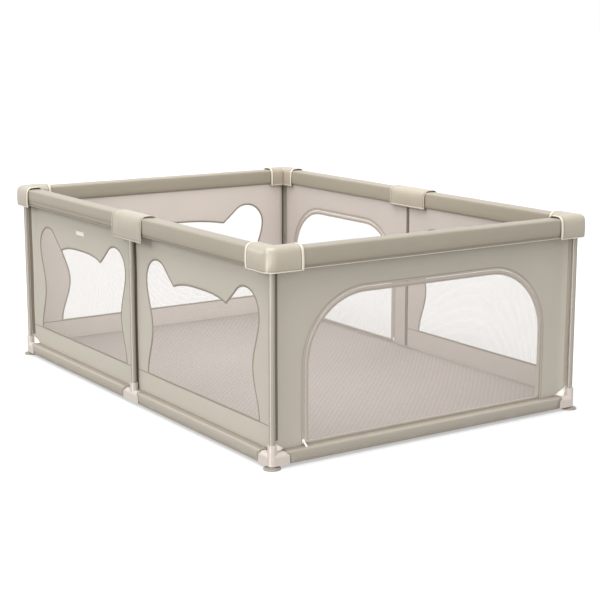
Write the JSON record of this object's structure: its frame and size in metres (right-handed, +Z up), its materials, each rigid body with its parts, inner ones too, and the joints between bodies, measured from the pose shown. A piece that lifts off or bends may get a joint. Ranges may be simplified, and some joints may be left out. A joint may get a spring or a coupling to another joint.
{
  "type": "playpen",
  "caption": "Rectangular baby playpen with a tube frame, padded top rails, fabric and mesh walls with eared windows, and zipped arch doors.",
  "frame": {"origin": "on the ground at the middle of the pen's footprint", "axes": "+X along the long side towards the end with the large door, +Z up; the front long wall with two windows faces -Y"},
  "size_m": [1.81, 1.25, 0.66],
  "materials": {
    "tube": "satin",
    "moulding": "satin",
    "cup": "matt",
    "cover": "satin",
    "wall": "matt",
    "net": "matt",
    "zip": "gloss"
  },
  "bodies": {
    "pen": {"front_left_post": "tube", "front_right_post": "tube", "back_right_post": "tube", "back_left_post": "tube", "front_mid_post": "tube", "back_mid_post": "tube", "top_tubes": "tube", "bottom_tubes": "tube", "corner_joints": "moulding", "mid_joints": "moulding", "front_left_base": "moulding", "front_right_base": "moulding", "back_right_base": "moulding", "back_left_base": "moulding", "front_mid_base": "moulding", "back_mid_base": "moulding", "front_left_cup": "cup", "front_right_cup": "cup", "back_right_cup": "cup", "back_left_cup": "cup", "front_left_pad": "cover", "front_right_pad": "cover", "right_end_pad": "cover", "back_right_pad": "cover", "back_left_pad": "cover", "left_end_pad": "cover", "front_left_cap": "cover", "front_right_cap": "cover", "back_right_cap": "cover", "back_left_cap": "cover", "front_mid_cap": "cover", "back_mid_cap": "cover", "front_left_panel": "wall", "front_right_panel": "wall", "right_end_panel": "wall", "back_right_panel": "wall", "back_left_panel": "wall", "left_end_panel": "wall", "front_left_window": "net", "front_right_window": "net", "left_end_window": "net", "back_right_window": "net", "front_left_sleeve": "wall", "front_right_sleeve": "wall", "right_end_sleeve": "wall", "back_right_sleeve": "wall", "back_left_sleeve": "wall", "left_end_sleeve": "wall", "floor_sheet": "wall", "right_zip_tape": "wall", "back_zip_tape": "wall"},
    "right_door": {"right_door_border": "wall", "right_door_mesh": "net"},
    "right_slider": {"right_zip_slider": "zip"},
    "right_pull": {"right_zip_pull": "zip"},
    "back_door": {"back_door_border": "wall", "back_door_mesh": "net"},
    "back_slider": {"back_zip_slider": "zip"},
    "back_pull": {"back_zip_pull": "zip"}
  },
  "joints": [
    {"name": "right_door_fold", "type": "hinge", "parent": "pen", "child": "right_door", "pos_m": [0.85955, 0, 0.051], "axis": [0, 1, 0], "range_deg": [0, 95]},
    {"name": "back_door_fold", "type": "hinge", "parent": "pen", "child": "back_door", "pos_m": [-0.4304, 0.57955, 0.051], "axis": [-1, 0, 0], "range_deg": [0, 95]},
    {"name": "right_zip_run", "type": "slide", "parent": "pen", "child": "right_slider", "axis": [0, 0, 1], "range_m": [0, 0.2]},
    {"name": "back_zip_run", "type": "slide", "parent": "pen", "child": "back_slider", "axis": [0, 0, 1], "range_m": [0, 0.2]},
    {"name": "right_pull_swing", "type": "hinge", "parent": "right_slider", "child": "right_pull", "pos_m": [0.8644, -0.4757, 0.061], "axis": [0, -1, 0], "range_deg": [0, 120]},
    {"name": "back_pull_swing", "type": "hinge", "parent": "back_slider", "child": "back_pull", "pos_m": [-0.0767, 0.5844, 0.061], "axis": [1, 0, 0], "range_deg": [0, 120]}
  ]
}
